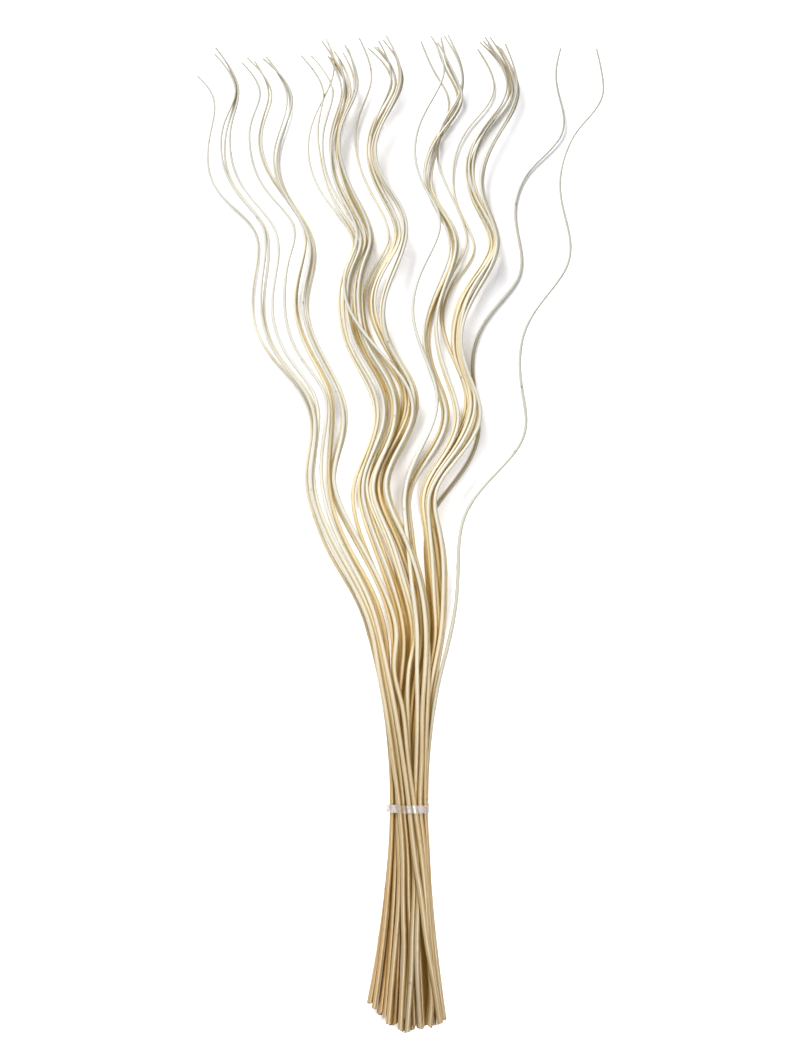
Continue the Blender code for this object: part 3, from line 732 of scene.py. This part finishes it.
def clear_film():
    """Glossy, see-through film that is paler and less clear where it is hazy and at its painted highlight."""
    material, tree, shader = new_material("clear_tape")
    place = kept(tree, "film")
    _, _, haze_with_highlight = split(tree, place)
    clouds = grain(tree, place, FILM_GRAIN, 2.0)
    cloudy = calculate(tree, "MULTIPLY_ADD", clouds, 0.35, add=-0.14)
    opacity = calculate(tree, "ADD", haze_with_highlight, cloudy, clamp=True)
    tree.links.new(opacity, shader.inputs["Alpha"])
    tree.links.new(ramp(tree, opacity, FILM_TINT), shader.inputs["Base Color"])
    raise_grain(tree, shader, clouds, 0.2, 0.2 * MM)
    shader.inputs["Roughness"].default_value = 0.25
    return material


# %% Making the band
FILM = clear_film()
tie_draw = np.random.default_rng(7)
band_places, band_flat, band_quads = band_skin(tie_draw)
band = make_object("tape_band", band_places, band_quads, FILM)
keep_vectors(band, "film", band_flat)
dress(band, "clear_tape", "tape_tie")
print("tape band", len(band_quads), "faces")

# %% [markdown]
# ## The tape's free end
#
# The end of the tape was torn off, and it springs away from the bunch on the left. Seen from above it is a
# small rounded tongue with a ragged rim. It is a strip whose length falls off from its middle to its edges,
# and whose direction turns from upwards to outwards as it leaves the band.

# %% Making the free end
TONGUE_LENGTH = 7.5 * MM
TONGUE_HEIGHT = 16.0 * MM
TONGUE_ROWS, TONGUE_COLUMNS = 18, 15
TONGUE_HAZE = 0.5


def tongue_skin(draw):
    """Corner places and flat places of the free end: a curling strip with a rounded, ragged end."""
    run = np.linspace(0.0, 1.0, TONGUE_ROWS)
    across = np.linspace(-1.0, 1.0, TONGUE_COLUMNS)
    reach = TONGUE_LENGTH * (0.45 + 0.55 * np.sqrt(np.clip(1.0 - across ** 2, 0.0, 1.0)))
    reach += 0.35 * MM * draw.uniform(-1.0, 1.0, TONGUE_COLUMNS)
    turn = math.radians(80.0) * run ** 1.5
    step = 1.0 / (TONGUE_ROWS - 1)
    out = np.concatenate([[0.0], np.cumsum(np.sin(turn[1:]) * step)])
    up = np.concatenate([[0.0], np.cumsum(np.cos(turn[1:]) * step)])
    left = outer_line[outer_line[:, 0] < 0.0]
    start = left[np.abs(left[:, 1] - TONGUE_HEIGHT).argmin()]
    curl = 0.3 * MM * np.sin(3.0 * math.pi * run)[:, None] * np.cos(2.0 * across)
    x = start[0] - 0.1 * MM - out[:, None] * reach - curl
    y = np.repeat((0.46 * TAPE_WIDTH * across)[None], TONGUE_ROWS, axis=0)
    z = start[1] + up[:, None] * reach
    places = np.stack([x, y, z], axis=-1)
    flat = np.stack([run[:, None] * reach, y, np.full_like(y, TONGUE_HAZE)], axis=-1)
    return places.reshape(-1, 3), flat.reshape(-1, 3)


tongue_places, tongue_flat = tongue_skin(tie_draw)
grid = np.arange(TONGUE_ROWS * TONGUE_COLUMNS).reshape(TONGUE_ROWS, TONGUE_COLUMNS)
tongue_quads = np.stack([grid[:-1, :-1], grid[:-1, 1:], grid[1:, 1:], grid[1:, :-1]], axis=-1)
tongue = make_object("tape_free_end", tongue_places, tongue_quads.reshape(-1, 4).tolist(), FILM)
keep_vectors(tongue, "film", tongue_flat)
thickness = tongue.modifiers.new("thickness", "SOLIDIFY")
thickness.thickness = 0.12 * MM
thickness.offset = 0.0
dress(tongue, "clear_tape")
print("free end", len(tongue_places), "corners")

# %% [markdown]
# ## The surface under the bunch
#
# The bunch lies on a plain white sheet, so bright that it clips to pure white except where the dense
# strands shade it. A very faint mottle keeps the sheet from being one flat colour. The shadows almost
# vanish beside the thick ends, so the sheet also gives off a little light, more of it towards them.

# %% The floor
FLOOR_HALF = 6.0
FLOOR_DROP = 0.2 * MM
WEAK_GLOW, STRONG_GLOW = 0.06, 0.3


def white_sheet():
    """Matt white with a faint mottle, and a glow that grows from 0.4 m beyond the tie down to the tie."""
    material, tree, shader = new_material("white_sheet")
    place = add_node(tree, "ShaderNodeTexCoord").outputs["Object"]
    mottle = grain(tree, place, (40.0, 40.0, 40.0), 2.0)
    tint = ramp(tree, mottle, [(0.3, (0.86, 0.855, 0.865)), (0.7, (0.88, 0.875, 0.885))])
    tree.links.new(tint, shader.inputs["Base Color"])
    shader.inputs["Roughness"].default_value = 0.85
    shader.inputs["Specular IOR Level"].default_value = 0.1
    _, beyond_tie, _ = split(tree, place)
    glow = stretch(tree, beyond_tie, WEAK_GLOW, STRONG_GLOW, 0.4, 0.0)
    shader.inputs["Emission Color"].default_value = (1.0, 1.0, 1.0, 1.0)
    tree.links.new(glow, shader.inputs["Emission Strength"])
    return material


square = np.array([(-1.0, -1.0, 0.0), (1.0, -1.0, 0.0), (1.0, 1.0, 0.0), (-1.0, 1.0, 0.0)])
floor = make_object("floor", FLOOR_HALF * square - (0.0, 0.0, FLOOR_DROP), [[0, 1, 2, 3]], white_sheet())
print("floor of", 2.0 * FLOOR_HALF, "m")

# %% [markdown]
# ## Camera
#
# The camera looks straight down from 5 m, with the bunch upright in the frame. The frame is 794 by 1059
# pixels, a pixel is a millimetre at the stems' middle height, and the tie lies at a known pixel.

# %% Looking down
FRAME_WIDTH, FRAME_HEIGHT = 794.0, 1059.0
TIE_PIXEL = (409.0, 808.0)
STEM_LEVEL = 16.0 * MM
CAMERA_HEIGHT = 5.0
camera_data = bpy.data.cameras.new("camera")
camera = bpy.data.objects.new("camera", camera_data)
bpy.context.scene.collection.objects.link(camera)
middle_x = (FRAME_WIDTH / 2.0 - TIE_PIXEL[0]) * MM
middle_y = (TIE_PIXEL[1] - FRAME_HEIGHT / 2.0) * MM
camera.location = (middle_x, middle_y, CAMERA_HEIGHT)
camera_data.angle = 2.0 * math.atan(FRAME_HEIGHT * MM / 2.0 / (CAMERA_HEIGHT - STEM_LEVEL))
bpy.context.scene.camera = camera
print("camera over", round(middle_x, 4), round(middle_y, 4))

# %% [markdown]
# ## Studio light
#
# The light is high key. A large soft lamp stands beyond the tips, to the left, and throws soft shadows
# down and to the right. A small lamp hangs over the cut ends on the right. It makes the thick wood look
# round, and its narrowed beam fades towards the tips. A pale surround fills the shadows. The picture is
# shown with high contrast, so that the brightest wood and the sheet clip to white.

# %% Lamps
def soft_lamp(name, place, target, size, power):
    """A square area lamp in watts, facing a target."""
    data = bpy.data.lights.new(name, "AREA")
    data.shape = "SQUARE"
    data.size = size
    data.energy = power
    lamp = bpy.data.objects.new(name, data)
    lamp.location = place
    lamp.visible_camera = False
    lamp.rotation_euler = (Vector(target) - Vector(place)).to_track_quat("-Z", "Y").to_euler()
    bpy.context.scene.collection.objects.link(lamp)
    return lamp


key_lamp = soft_lamp("key_lamp", (-0.8, 2.2, 1.5), (0.0, 0.4, 0.0), 1.1, 68.0)
side_lamp = soft_lamp("side_lamp", (0.22, -0.2, 0.95), (0.0, -0.1, 0.0), 0.25, 1.4)
side_lamp.data.spread = math.radians(85.0)
print("lamps of", key_lamp.data.energy, "and", round(side_lamp.data.energy, 2), "watts")

# %% Surround and contrast
world = bpy.data.worlds.new("surround")
world.use_nodes = True
background = world.node_tree.nodes["Background"]
background.inputs["Color"].default_value = (0.97, 0.98, 1.0, 1.0)
background.inputs["Strength"].default_value = 0.36
bpy.context.scene.world = world
bpy.context.scene.view_settings.view_transform = "Standard"
bpy.context.scene.view_settings.look = "High Contrast"
print("surround strength", round(background.inputs["Strength"].default_value, 2))
